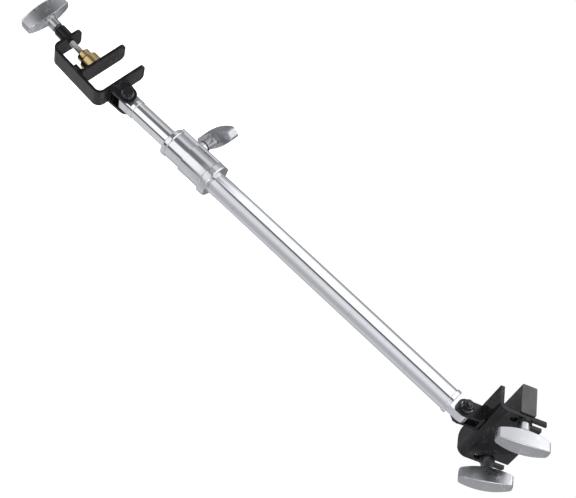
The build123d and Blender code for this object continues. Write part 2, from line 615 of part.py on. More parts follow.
def beam_handle(sign, turn):
    """T-handle that turns on a stud under the base."""
    angle = radians(turn)
    place = Location(Plane(origin=(BEAM_HUB_START, sign * SLOT_SPACING / 2, STUD_Z),
                           x_dir=(0, sin(angle), cos(angle)), z_dir=(1, 0, 0)))
    return place * t_handle(STUD_RADIUS + RUNNING_CLEARANCE)


def build_nodes():
    """Every sub-part in the row frame, by name."""
    nodes = {
        "c_frame": c_frame(),
        "screw_boss": screw_boss(),
        "seat_bracket": seat_bracket(),
        "sliding_jaw": sliding_jaw(),
        "brass_swivel": brass_swivel(),
        "swivel_pin": swivel_pin(),
        "clamp_screw": clamp_screw(),
        "clamp_handle": clamp_handle(),
    }
    seat_pivot = Location((0, 0, SEAT_PIVOT_Z), (0, 0, 180))
    nodes["seat_pivot_bolt"] = seat_pivot * pivot_bolt(EAR_OUTSIDE)
    nodes["seat_pivot_nut"] = seat_pivot * pivot_nut(EAR_OUTSIDE)
    nodes["seat_pivot_washers"] = seat_pivot * pivot_washers(EAR_OUTSIDE)
    arm_parts = {
        "seat_fitting": seat_fitting, "inner_tube": inner_tube, "inner_tube_bush": inner_tube_bush,
        "collar_bush": collar_bush,
    }
    collar_parts = {
        "collar_body": collar_body, "outer_tube": outer_tube, "lock_shoe": lock_shoe,
        "lock_screw": lock_screw, "lock_spacer": lock_rings, "lock_handle": lock_handle,
    }
    for name, build in arm_parts.items():
        nodes[name] = ARM_PLACE * build()
    for name, build in collar_parts.items():
        nodes[name] = COLLAR_PLACE * build()
    nodes["beam_fitting"] = FAR_PIVOT_PLACE * beam_fitting()
    outside = EYE_EAR_INSIDE + EAR_THICKNESS
    beam_parts = {
        "beam_bracket": beam_bracket(), "beam_pivot_bolt": pivot_bolt(outside),
        "beam_pivot_nut": pivot_nut(outside), "beam_pivot_washers": pivot_washers(outside),
    }
    clamp_parts = {
        "beam_plate": beam_plate(), "sliding_bar": sliding_bar(), "bar_end_caps": bar_end_caps(),
        "bar_nut_plates": bar_nut_plates(), "beam_studs": beam_studs(),
        "beam_washer_a": beam_washer(1), "beam_washer_b": beam_washer(-1),
        "beam_handle_a": beam_handle(1, HANDLE_A_TURN), "beam_handle_b": beam_handle(-1, HANDLE_B_TURN),
    }
    for name, solid in beam_parts.items():
        nodes[name] = BEAM_PLACE * solid
    for name, solid in clamp_parts.items():
        nodes[name] = CLAMP_PLACE * solid
    return nodes


os.makedirs("parts", exist_ok=True)
for node_name, node_solid in build_nodes().items():
    export_step(node_solid, f"parts/{node_name}.step")
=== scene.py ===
"""Looks of the telescopic stand brace: finishes, cut threads and a plain studio."""

import json
import logging
import math
from dataclasses import dataclass, field
from enum import Enum

import bpy
from mathutils import Matrix, Vector


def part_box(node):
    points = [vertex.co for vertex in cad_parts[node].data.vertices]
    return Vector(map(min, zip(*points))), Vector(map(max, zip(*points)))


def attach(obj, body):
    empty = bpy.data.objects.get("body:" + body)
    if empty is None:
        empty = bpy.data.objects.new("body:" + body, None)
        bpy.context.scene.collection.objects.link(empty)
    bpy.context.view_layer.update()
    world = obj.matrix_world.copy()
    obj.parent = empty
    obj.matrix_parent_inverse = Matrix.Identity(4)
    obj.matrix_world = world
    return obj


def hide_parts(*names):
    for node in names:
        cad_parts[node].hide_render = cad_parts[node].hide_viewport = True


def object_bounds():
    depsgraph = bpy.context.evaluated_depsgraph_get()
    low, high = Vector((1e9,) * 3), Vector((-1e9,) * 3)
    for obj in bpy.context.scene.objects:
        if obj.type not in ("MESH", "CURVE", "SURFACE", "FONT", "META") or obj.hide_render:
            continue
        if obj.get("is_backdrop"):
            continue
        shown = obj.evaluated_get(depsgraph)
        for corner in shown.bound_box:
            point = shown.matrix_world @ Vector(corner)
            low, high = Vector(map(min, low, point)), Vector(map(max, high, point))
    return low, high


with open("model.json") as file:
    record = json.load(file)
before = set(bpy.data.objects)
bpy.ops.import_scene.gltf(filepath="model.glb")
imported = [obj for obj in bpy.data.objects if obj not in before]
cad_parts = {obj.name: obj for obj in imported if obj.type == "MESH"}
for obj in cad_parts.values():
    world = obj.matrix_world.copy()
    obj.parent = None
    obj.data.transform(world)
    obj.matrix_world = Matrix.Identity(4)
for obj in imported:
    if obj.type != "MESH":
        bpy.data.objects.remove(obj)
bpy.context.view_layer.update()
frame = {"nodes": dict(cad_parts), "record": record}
LOG = logging.getLogger("stand_brace")
MM = 0.001

Color = tuple[float, float, float]
Socket = bpy.types.NodeSocket
Tree = bpy.types.NodeTree

PATCH_SIZE = 30.0           # grain cells across a patch
PATCH_SHARE = 0.5           # how far a patch takes on its darker tone
PATCH_SHADE = 0.86          # that tone, against the main colour
DUST_COLOR = (0.42, 0.41, 0.39)
DUST_ROUGHNESS = 0.4        # roughness that dust adds
WORN_ROUGHNESS = 0.15       # roughness that a scratch adds
SCRATCH_DEPTH = 0.6         # depth of a scratch, in heights of the grain
BUMP_STRENGTH = 0.6
SCRATCH_RUNS = ((0.4, 0.05), (1.9, 0.08), (2.7, 0.04))  # turn in radians and stretch of each run
SCRATCH_TILT = (1.0, 0.7, 1.3)  # share of that turn about X, Y and Z
PATCH_RANGE = (0.35, 0.68)  # noise from which a patch starts, and at which it is full
BREAK_SCALE = 90.0          # places per metre where scratches may break off
BREAK_RANGE = (0.52, 0.62)
SPECK_RANGE = (0.62, 0.76)
DUST_PLACES = 30.0          # places per metre where dust may lie
DUST_RANGE = (0.42, 0.7)
SMOOTH_ANGLE = math.radians(32)
MERGE_DISTANCE = 1e-6


class Body(str, Enum):
    """Bodies of the record that new pieces ride on."""

    FRAME = "frame"
    CLAMP_SCREW = "clamp_screw"
    BEAM_CLAMP = "beam_clamp"


class Grain(Enum):
    """How a surface's fine marks run, as stretch factors along X, Y and Z."""

    EVEN = (1.0, 1.0, 1.0)
    ALONG_Z = (1.0, 1.0, 0.04)
    RINGS_Z = (0.02, 0.02, 1.0)


# ---------------------------------------------------------------- shader node groups

def new_group(name: str, inputs: dict[str, float], outputs: list[str]) -> Tree:
    """Make an empty shader group with float inputs and outputs.

    Args:
        name: Name of the group.
        inputs: Input names and their default values.
        outputs: Output names.

    Returns:
        The new node tree, with a group input and a group output node.
    """
    tree = bpy.data.node_groups.new(name, "ShaderNodeTree")
    tree.interface.new_socket("Vector", in_out="INPUT", socket_type="NodeSocketVector")
    for label, value in inputs.items():
        socket = tree.interface.new_socket(label, in_out="INPUT", socket_type="NodeSocketFloat")
        socket.default_value = value
    for label in outputs:
        tree.interface.new_socket(label, in_out="OUTPUT", socket_type="NodeSocketFloat")
    tree.nodes.new("NodeGroupInput").name = "In"
    tree.nodes.new("NodeGroupOutput").name = "Out"
    return tree


def math_node(tree: Tree, kind: str, first: float | Socket, second: float | Socket) -> Socket:
    """Add a math node.

    Args:
        tree: Tree to add to.
        kind: Operation of the math node.
        first: Number or output socket for the first input.
        second: Number or output socket for the second input.

    Returns:
        The node's output socket.
    """
    node = tree.nodes.new("ShaderNodeMath")
    node.operation = kind
    for index, value in enumerate((first, second)):
        if isinstance(value, (int, float)):
            node.inputs[index].default_value = value
        else:
            tree.links.new(value, node.inputs[index])
    return node.outputs[0]


def ramp_node(tree: Tree, source: Socket, low: float, high: float) -> Socket:
    """Spread a value between two limits over 0 to 1, smoothly.

    Args:
        tree: Tree to add to.
        source: Value to spread.
        low: Value that becomes 0.
        high: Value that becomes 1.

    Returns:
        The spread value.
    """
    node = tree.nodes.new("ShaderNodeMapRange")
    node.interpolation_type = "SMOOTHSTEP"
    node.inputs["From Min"].default_value = low
    node.inputs["From Max"].default_value = high
    tree.links.new(source, node.inputs["Value"])
    return node.outputs["Result"]


def noise_node(tree: Tree, vector: Socket, scale: float | Socket, detail: float) -> Socket:
    """Add a noise texture.

    Args:
        tree: Tree to add to.
        vector: Coordinates.
        scale: Number or socket for the scale, in cells per metre.
        detail: Number of octaves.

    Returns:
        The noise value.
    """
    node = tree.nodes.new("ShaderNodeTexNoise")
    node.inputs["Detail"].default_value = detail
    tree.links.new(vector, node.inputs["Vector"])
    if isinstance(scale, (int, float)):
        node.inputs["Scale"].default_value = scale
    else:
        tree.links.new(scale, node.inputs["Scale"])
    return node.outputs["Fac"]


def grain_group() -> Tree:
    """Make the fine grain group.

    Returns:
        A group that gives a height for bump and a mask that varies slowly.
    """
    tree = new_group("Fine grain", {"Scale": 900.0, "Patch Scale": 25.0}, ["Height", "Patches"])
    start, end = tree.nodes["In"], tree.nodes["Out"]
    fine = noise_node(tree, start.outputs["Vector"], start.outputs["Scale"], 3.0)
    tree.links.new(fine, end.inputs["Height"])
    patches = noise_node(tree, start.outputs["Vector"], start.outputs["Patch Scale"], 4.0)
    tree.links.new(ramp_node(tree, patches, *PATCH_RANGE), end.inputs["Patches"])
    return tree


def scratch_group() -> Tree:
    """Make the scratch group.

    Returns:
        A group that gives one mask of thin broken marks in crossing directions.
    """
    tree = new_group("Hairline scratches", {"Scale": 60.0, "Width": 0.02}, ["Mask"])
    start, end = tree.nodes["In"], tree.nodes["Out"]
    marks = None
    for turn, stretch in SCRATCH_RUNS:
        mapping = tree.nodes.new("ShaderNodeMapping")
        mapping.inputs["Rotation"].default_value = [turn * tilt for tilt in SCRATCH_TILT]
        mapping.inputs["Scale"].default_value = (1.0, stretch, 1.0)
        tree.links.new(start.outputs["Vector"], mapping.inputs["Vector"])
        cells = tree.nodes.new("ShaderNodeTexVoronoi")
        cells.feature = "DISTANCE_TO_EDGE"
        tree.links.new(mapping.outputs["Vector"], cells.inputs["Vector"])
        tree.links.new(start.outputs["Scale"], cells.inputs["Scale"])
        line = math_node(tree, "LESS_THAN", cells.outputs["Distance"], start.outputs["Width"])
        marks = line if marks is None else math_node(tree, "MAXIMUM", marks, line)
    broken = noise_node(tree, start.outputs["Vector"], BREAK_SCALE, 2.0)
    kept = math_node(tree, "MULTIPLY", marks, ramp_node(tree, broken, *BREAK_RANGE))
    tree.links.new(kept, end.inputs["Mask"])
    return tree


def dust_group() -> Tree:
    """Make the dust group.

    Returns:
        A group that gives a mask of small specks, thicker in some places than in others.
    """
    tree = new_group("Dust specks", {"Scale": 420.0, "Amount": 0.5}, ["Mask"])
    start, end = tree.nodes["In"], tree.nodes["Out"]
    specks = noise_node(tree, start.outputs["Vector"], start.outputs["Scale"], 2.0)
    places = noise_node(tree, start.outputs["Vector"], DUST_PLACES, 2.0)
    mask = math_node(tree, "MULTIPLY", ramp_node(tree, specks, *SPECK_RANGE),
                     ramp_node(tree, places, *DUST_RANGE))
    tree.links.new(math_node(tree, "MULTIPLY", mask, start.outputs["Amount"]), end.inputs["Mask"])
    return tree


GROUPS = {"grain": grain_group(), "scratches": scratch_group(), "dust": dust_group()}


# ---------------------------------------------------------------- finishes

@dataclass(frozen=True)
class Finish:
    """A surface finish that is the same on each part it dresses.

    Attributes:
        name: Name of the material.
        color: Main colour.
        worn_color: Colour of scratches and rubbed places.
        metallic: Metallic value of the sound surface.
        roughness: Lowest and highest roughness.
        grain: Direction of the fine marks.
        grain_scale: Grain cells per metre.
        bump: Height of the grain in metres.
        scratches: Strength of the scratches, 0 to 1.
        scratch_scale: Scratch cells per metre.
        dust: Strength of the dust specks, 0 to 1.
        coat: Clear coat weight.
        worn_metallic: Metallic value in the scratches.
        specular: Strength of the plain reflection of a surface that isn't metal.
    """

    name: str
    color: Color
    worn_color: Color
    metallic: float
    roughness: tuple[float, float]
    grain: Grain = Grain.EVEN
    grain_scale: float = 900.0
    bump: float = 0.00002
    scratches: float = 0.3
    scratch_scale: float = 60.0
    dust: float = 0.1
    coat: float = 0.0
    worn_metallic: float = 1.0
    specular: float = 0.5

    def group(self, tree: Tree, key: str, vector: Socket,
              values: dict[str, float]) -> bpy.types.ShaderNodeGroup:
        """Place a shared group.

        Args:
            tree: Tree of the material.
            key: Which shared group.
            vector: Coordinates for it.
            values: Input values by name.

        Returns:
            The group node.
        """
        node = tree.nodes.new("ShaderNodeGroup")
        node.node_tree = GROUPS[key]
        tree.links.new(vector, node.inputs["Vector"])
        for label, value in values.items():
            node.inputs[label].default_value = value
        return node

    def mix_color(self, tree: Tree, mask: Socket, first: Color | Socket, second: Color) -> Socket:
        """Mix a colour towards another by a mask.

        Args:
            tree: Tree of the material.
            mask: 0 gives the first colour and 1 the second.
            first: Colour or colour socket.
            second: Colour.

        Returns:
            The mixed colour.
        """
        node = tree.nodes.new("ShaderNodeMix")
        node.data_type = "RGBA"
        tree.links.new(mask, node.inputs["Factor"])
        if isinstance(first, tuple):
            node.inputs["A"].default_value = (*first, 1.0)
        else:
            tree.links.new(first, node.inputs["A"])
        node.inputs["B"].default_value = (*second, 1.0)
        return node.outputs["Result"]

    def tint(self, tree: Tree, patches: Socket, worn: Socket, dust: Socket) -> Socket:
        """Colour the surface, with darker patches, scratches and dust.

        Args:
            tree: Tree of the material.
            patches: Mask of the patches.
            worn: Mask of the scratches.
            dust: Mask of the dust.

        Returns:
            The surface's colour.
        """
        shade = tuple(channel * PATCH_SHADE for channel in self.color)
        tint = self.mix_color(tree, math_node(tree, "MULTIPLY", patches, PATCH_SHARE), self.color, shade)
        tint = self.mix_color(tree, worn, tint, self.worn_color)
        return self.mix_color(tree, dust, tint, DUST_COLOR)

    def rough(self, tree: Tree, patches: Socket, worn: Socket, dust: Socket) -> Socket:
        """Spread the roughness over the surface.

        Args:
            tree: Tree of the material.
            patches: Mask of the patches.
            worn: Mask of the scratches.
            dust: Mask of the dust.

        Returns:
            The surface's roughness.
        """
        spread = self.roughness[1] - self.roughness[0]
        rough = math_node(tree, "MULTIPLY", patches, spread)
        rough = math_node(tree, "ADD", rough, self.roughness[0])
        rough = math_node(tree, "ADD", rough, math_node(tree, "MULTIPLY", dust, DUST_ROUGHNESS))
        return math_node(tree, "ADD", rough, math_node(tree, "MULTIPLY", worn, WORN_ROUGHNESS))

    def build(self) -> bpy.types.Material:
        """Build the material.

        Returns:
            The finished material.
        """
        material = bpy.data.materials.new(self.name)
        material.use_nodes = True
        tree = material.node_tree
        shader = tree.nodes["Principled BSDF"]
        place = tree.nodes.new("ShaderNodeTexCoord")
        stretch = tree.nodes.new("ShaderNodeMapping")
        stretch.inputs["Scale"].default_value = self.grain.value
        tree.links.new(place.outputs["Object"], stretch.inputs["Vector"])
        grain = self.group(tree, "grain", stretch.outputs["Vector"],
                           {"Scale": self.grain_scale, "Patch Scale": self.grain_scale / PATCH_SIZE})
        marks = self.group(tree, "scratches", place.outputs["Object"], {"Scale": self.scratch_scale})
        specks = self.group(tree, "dust", place.outputs["Object"], {"Amount": self.dust})
        worn = math_node(tree, "MULTIPLY", marks.outputs["Mask"], self.scratches)
        patches, dust = grain.outputs["Patches"], specks.outputs["Mask"]
        tree.links.new(self.tint(tree, patches, worn, dust), shader.inputs["Base Color"])
        tree.links.new(self.rough(tree, patches, worn, dust), shader.inputs["Roughness"])
        if self.metallic != self.worn_metallic:
            tree.links.new(math_node(tree, "MAXIMUM", worn, self.metallic), shader.inputs["Metallic"])
        else:
            shader.inputs["Metallic"].default_value = self.metallic
        shader.inputs["Coat Weight"].default_value = self.coat
        shader.inputs["Specular IOR Level"].default_value = self.specular
        height = math_node(tree, "SUBTRACT", grain.outputs["Height"],
                           math_node(tree, "MULTIPLY", worn, SCRATCH_DEPTH))
        bump = tree.nodes.new("ShaderNodeBump")
        bump.inputs["Strength"].default_value = BUMP_STRENGTH
        bump.inputs["Distance"].default_value = self.bump
        tree.links.new(height, bump.inputs["Height"])
        tree.links.new(bump.outputs["Normal"], shader.inputs["Normal"])
        return material


CHROME = Finish("bright_chrome", (0.8, 0.815, 0.84), (0.6, 0.6, 0.62), 1.0, (0.05, 0.11), Grain.ALONG_Z,
                grain_scale=1400.0, bump=0.000004, scratches=0.35, scratch_scale=45.0, dust=0.06)
COLLAR_CHROME = Finish("cast_chrome", (0.72, 0.73, 0.75), (0.5, 0.5, 0.52), 1.0, (0.12, 0.24),
                       grain_scale=500.0, bump=0.00002, scratches=0.35, dust=0.08)
SATIN_CAST = Finish("satin_casting", (0.45, 0.46, 0.475), (0.66, 0.66, 0.67), 1.0, (0.24, 0.36),
                    grain_scale=1100.0, bump=0.00003, scratches=0.5, scratch_scale=70.0, dust=0.08)
BLACK_PAINT = Finish("black_powder_coat", (0.006, 0.006, 0.007), (0.12, 0.12, 0.13), 0.0, (0.2, 0.32),
                     grain_scale=1300.0, bump=0.00005, scratches=0.2, scratch_scale=55.0, dust=0.05,
                     coat=0.06, specular=0.22)
GREY_PAINT = Finish("dark_grey_powder_coat", (0.026, 0.027, 0.03), (0.16, 0.16, 0.17), 0.0, (0.34, 0.48),
                    grain_scale=1300.0, bump=0.00005, scratches=0.25, dust=0.1, specular=0.3)
BRASS = Finish("turned_brass", (0.55, 0.42, 0.2), (0.7, 0.58, 0.34), 1.0, (0.2, 0.34), Grain.RINGS_Z,
               grain_scale=2200.0, bump=0.00002, scratches=0.4, scratch_scale=90.0, dust=0.08)
ZINC_STEEL = Finish("zinc_steel", (0.52, 0.52, 0.53), (0.66, 0.66, 0.66), 1.0, (0.22, 0.4),
                    grain_scale=1500.0, bump=0.00002, scratches=0.4, scratch_scale=90.0, dust=0.1)
BLACK_STEEL = Finish("black_oxide", (0.022, 0.022, 0.024), (0.3, 0.3, 0.31), 0.7, (0.28, 0.42),
                     grain_scale=1500.0, bump=0.00002, scratches=0.35, scratch_scale=110.0, dust=0.12)
BLACK_PLASTIC = Finish("moulded_black_plastic", (0.02, 0.02, 0.021), (0.06, 0.06, 0.06), 0.0, (0.42, 0.56),
                       grain_scale=1200.0, bump=0.00004, scratches=0.25, dust=0.2, worn_metallic=0.0)
NYLON = Finish("natural_nylon", (0.72, 0.72, 0.67), (0.6, 0.6, 0.55), 0.0, (0.4, 0.52),
               grain_scale=900.0, bump=0.00003, scratches=0.25, dust=0.1, worn_metallic=0.0)


# ---------------------------------------------------------------- modelling helpers

def clear_selection() -> None:
    """Leave object mode with nothing selected."""
    if bpy.context.object and bpy.context.object.mode != "OBJECT":
        bpy.ops.object.mode_set(mode="OBJECT")
    bpy.ops.object.select_all(action="DESELECT")


def pick(piece: bpy.types.Object) -> None:
    """Select one piece alone and make it active.

    Args:
        piece: Piece to work on.
    """
    clear_selection()
    piece.select_set(True)
    bpy.context.view_layer.objects.active = piece


def settle(piece: bpy.types.Object, place: Matrix, name: str) -> bpy.types.Object:
    """Put a finished piece's place into its mesh.

    Args:
        piece: Piece modelled about the origin along Z.
        place: Where it goes in the row frame.
        name: Name of the piece.

    Returns:
        The piece at the origin, unturned and unscaled.
    """
    pick(piece)
    piece.name = name
    piece.matrix_world = place @ piece.matrix_world
    bpy.ops.object.transform_apply(location=True, rotation=True, scale=True)
    bpy.ops.object.mode_set(mode="EDIT")
    bpy.ops.mesh.select_all(action="SELECT")
    bpy.ops.mesh.remove_doubles(threshold=MERGE_DISTANCE)
    bpy.ops.mesh.normals_make_consistent(inside=False)
    bpy.ops.object.mode_set(mode="OBJECT")
    bpy.ops.object.shade_smooth_by_angle(angle=SMOOTH_ANGLE)
    return piece


def apply_modifier(piece: bpy.types.Object, kind: str, **values: object) -> None:
    """Add a modifier and apply it.

    Args:
        piece: Piece to finish.
        kind: Type of the modifier.
        **values: Its settings by name.
    """
    pick(piece)
    modifier = piece.modifiers.new(kind.title(), kind)
    for key, value in values.items():
        setattr(modifier, key, value)
    bpy.ops.object.modifier_apply(modifier=modifier.name)


def join(pieces: list[bpy.types.Object]) -> bpy.types.Object:
    """Join several meshes.

    Args:
        pieces: Meshes to join.

    Returns:
        The first of them, which holds them all.
    """
    clear_selection()
    for piece in pieces:
        piece.select_set(True)
    bpy.context.view_layer.objects.active = pieces[0]
    bpy.ops.object.join()
    return pieces[0]


def joint(name: str) -> dict[str, object]:
    """Find a joint of the record.

    Args:
        name: Name of the joint.

    Returns:
        The joint's entry.
    """
    for entry in frame["record"]["behaviour"]["joints"]:
        if entry["name"] == name:
            return entry
    raise KeyError(name)


def turn_to(axis: Vector) -> Matrix:
    """Rotation that takes +Z to an axis."""
    return Vector((0, 0, 1)).rotation_difference(axis).to_matrix().to_4x4()


# ---------------------------------------------------------------- dressing

@dataclass
class Dressing:
    """Finishes of the CAD nodes that show as they are.

    Attributes:
        finishes: Finish by material slot of the record.
        materials: Built materials by finish name.
    """

    finishes: dict[str, Finish] = field(default_factory=lambda: {
        "black_paint": BLACK_PAINT, "brass": BRASS, "steel": ZINC_STEEL, "cast_silver": SATIN_CAST,
        "black_bolt": BLACK_STEEL, "chrome": CHROME, "collar_chrome": COLLAR_CHROME, "nylon": NYLON,
        "black_plastic": BLACK_PLASTIC, "grey_paint": GREY_PAINT,
    })
    materials: dict[str, bpy.types.Material] = field(default_factory=dict)

    def material(self, slot: str) -> bpy.types.Material:
        """Find the material of a record slot, built once.

        Args:
            slot: Material slot of the record.

        Returns:
            The material.
        """
        finish = self.finishes[slot]
        if finish.name not in self.materials:
            self.materials[finish.name] = finish.build()
        return self.materials[finish.name]

    def dress(self) -> None:
        """Give each CAD node the finish of its slot."""
        for part in frame["record"]["subparts"]:
            node = frame["nodes"][part["node"]]
            material = self.material(part["material_slot"])
            node.data.materials.clear()
            node.data.materials.append(material)
            LOG.info("%s dressed in %s", part["node"], material.name)

    def add(self, piece: bpy.types.Object, slot: str, body: Body, *replaced: str) -> None:
        """Finish a new piece and tie it to its body.

        Args:
            piece: The new piece.
            slot: Record slot that it takes its finish from.
            body: Body that it rides on.
            *replaced: CAD nodes that it stands for.
        """
        piece.data.materials.clear()
        piece.data.materials.append(self.material(slot))
        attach(piece, body.value)
        if replaced:
            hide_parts(*replaced)
        LOG.info("%s built with %d faces", piece.name, len(piece.data.polygons))


# ---------------------------------------------------------------- pieces

@dataclass
class ThreadedRod:
    """Rod with a cut thread and square ends, along Z from 0.

    Attributes:
        radius: Outside radius of the thread.
        length: Length of the rod.
        pitch: Distance between threads.
        depth_share: Depth of the thread, as a share of the pitch.
        steps: Faces round the rod.
    """

    radius: float
    length: float
    pitch: float = 1.25 * MM
    depth_share: float = 0.58
    steps: int = 28

    def build(self) -> bpy.types.Object:
        """Cut the thread as a screwed tooth and close both ends.

        Returns:
            The rod, at the origin along Z.
        """
        depth = self.pitch * self.depth_share
        tooth = self.tooth(depth)
        turns = math.ceil(self.length / self.pitch) + 2
        tooth.location = (0, 0, -self.pitch)
        bpy.ops.object.transform_apply(location=True, rotation=True, scale=True)
        apply_modifier(tooth, "SCREW", angle=math.tau, steps=self.steps, render_steps=self.steps,
                       screw_offset=self.pitch, iterations=turns, use_merge_vertices=True,
                       merge_threshold=MERGE_DISTANCE)
        self.cut(tooth, 0.0, upper=False)
        self.cut(tooth, self.length, upper=True)
        return tooth

    def tooth(self, depth: float) -> bpy.types.Object:
        """Draw one tooth's outline, as the outer half of a diamond.

        Args:
            depth: Depth of the thread.

        Returns:
            The open outline in the XZ plane.
        """
        clear_selection()
        bpy.ops.mesh.primitive_circle_add(vertices=4, radius=1.0, location=(0, 0, 0),
                                          rotation=(math.radians(90), 0, 0))
        tooth = bpy.context.object
        tooth.scale = (depth, self.pitch / 2, 1.0)
        tooth.location = (self.radius - depth, 0, 0)
        bpy.ops.object.transform_apply(location=True, rotation=True, scale=True)
        bpy.ops.object.mode_set(mode="EDIT")
        bpy.ops.mesh.select_all(action="DESELECT")
        bpy.ops.object.mode_set(mode="OBJECT")
        for vertex in tooth.data.vertices:
            vertex.select = vertex.co.x < self.radius - depth * 1.5
        bpy.ops.object.mode_set(mode="EDIT")
        bpy.ops.mesh.delete(type="VERT")
        bpy.ops.object.mode_set(mode="OBJECT")
        return tooth

    def cut(self, rod: bpy.types.Object, height: float, upper: bool) -> None:
        """Saw the rod off square and close it.

        Args:
            rod: The threaded rod.
            height: Where to saw.
            upper: True drops what is above the cut.
        """
        pick(rod)
        bpy.ops.object.mode_set(mode="EDIT")
        bpy.ops.mesh.select_all(action="SELECT")
        bpy.ops.mesh.bisect(plane_co=(0, 0, height), plane_no=(0, 0, 1), use_fill=True,
                            clear_outer=upper, clear_inner=not upper)
        bpy.ops.object.mode_set(mode="OBJECT")


@dataclass
class HexHead:
    """Hexagon bolt head with a washer face, along Z from 0.

    Attributes:
        across: Width across the flats.
        height: Height of the head.
        rim: Width of the rim round the washer face.
        rise: Height of the washer face over the rim.
        edge: Width of the rounded edges.
    """

    across: float = 13.0 * MM
    height: float = 5.3 * MM
    rim: float = 0.9 * MM
    rise: float = 0.01 * MM
    edge: float = 0.35 * MM

    def build(self) -> bpy.types.Object:
        """Shape the head from a six-sided cylinder with its corners turned off.

        Returns:
            The head, at the origin along Z.
        """
        clear_selection()
        bpy.ops.mesh.primitive_cylinder_add(vertices=6, radius=self.across / math.sqrt(3),
                                            depth=self.height, location=(0, 0, self.height / 2))
        head = bpy.context.object
        bpy.ops.object.transform_apply(location=True, rotation=True, scale=True)
        bpy.ops.object.mode_set(mode="EDIT")
        bpy.ops.mesh.select_all(action="DESELECT")
        bpy.ops.object.mode_set(mode="OBJECT")
        for face in head.data.polygons:
            face.select = face.normal.z > 0.9
        bpy.ops.object.mode_set(mode="EDIT")
        bpy.ops.mesh.inset(thickness=self.rim, depth=0.0)
        bpy.ops.transform.translate(value=(0, 0, self.rise))
        bpy.ops.object.mode_set(mode="OBJECT")
        apply_modifier(head, "BEVEL", width=self.edge, segments=2, limit_method="ANGLE",
                       angle_limit=math.radians(30))
        return head


@dataclass
class PivotBolt:
    """Hexagon bolt through a bracket, with its thread showing past the nut.

    Attributes:
        node: CAD node that it stands for.
        hinge: Joint whose axis it lies on.
        body: Body that it rides on.
        reversed: True when the head is on the axis's positive side.
        radius: Radius of the shank.
        thread: Length of thread at its end.
        facets: Faces round the shank.
    """

    node: str
    hinge: str
    body: Body
    reversed: bool
    radius: float = 4.0 * MM
    thread: float = 12.0 * MM
    facets: int = 40

    def build(self) -> bpy.types.Object:
        """Model head, shank and thread along the hinge's axis.

        Returns:
            The finished bolt.
        """
        hinge = joint(self.hinge)
        axis = Vector(hinge["axis"]).normalized() * (-1.0 if self.reversed else 1.0)
        middle = Vector(hinge["pos_m"])
        low, high = self.extent(axis, middle)
        head = HexHead()
        cap = head.build()
        under_head = low + head.height
        cap.matrix_world = Matrix.Translation((0, 0, under_head)) @ Matrix.Rotation(math.pi, 4, "X")
        clear_selection()
        shank_end = high - self.thread
        bpy.ops.mesh.primitive_cylinder_add(vertices=self.facets, radius=self.radius,
                                            depth=shank_end - low - head.height,
                                            location=(0, 0, (shank_end + low + head.height) / 2))
        shank = bpy.context.object
        rod = ThreadedRod(self.radius, self.thread).build()
        rod.location = (0, 0, shank_end)
        place = Matrix.Translation(middle) @ turn_to(axis)
        return settle(join([cap, shank, rod]), place, self.node + "_detailed")

    def extent(self, axis: Vector, middle: Vector) -> tuple[float, float]:
        """Measure how far the CAD bolt reaches along its axis, either way from the hinge.

        Args:
            axis: Unit vector from head to end.
            middle: Point on the hinge.

        Returns:
            The lowest and the highest place along the axis.
        """
        mesh = frame["nodes"][self.node]
        places = [(mesh.matrix_world @ v.co - middle).dot(axis) for v in mesh.data.vertices]
        return min(places), max(places)


# ---------------------------------------------------------------- studio

@dataclass(frozen=True)
class Lamp:
    """Soft square lamp.

    Attributes:
        name: Name of the lamp.
        place: Where it hangs.
        size: Side of the lamp in metres.
        power: Power in watts.
    """

    name: str
    place: tuple[float, float, float]
    size: float
    power: float

    def hang(self, target: Vector) -> None:
        """Hang the lamp.

        Args:
            target: What it points at.
        """
        data = bpy.data.lights.new(self.name, "AREA")
        data.size = self.size
        data.energy = self.power
        holder = bpy.data.objects.new(self.name, data)
        bpy.context.scene.collection.objects.link(holder)
        place = Vector(self.place)
        holder.matrix_world = Matrix.Translation(place) @ turn_to((place - target).normalized())


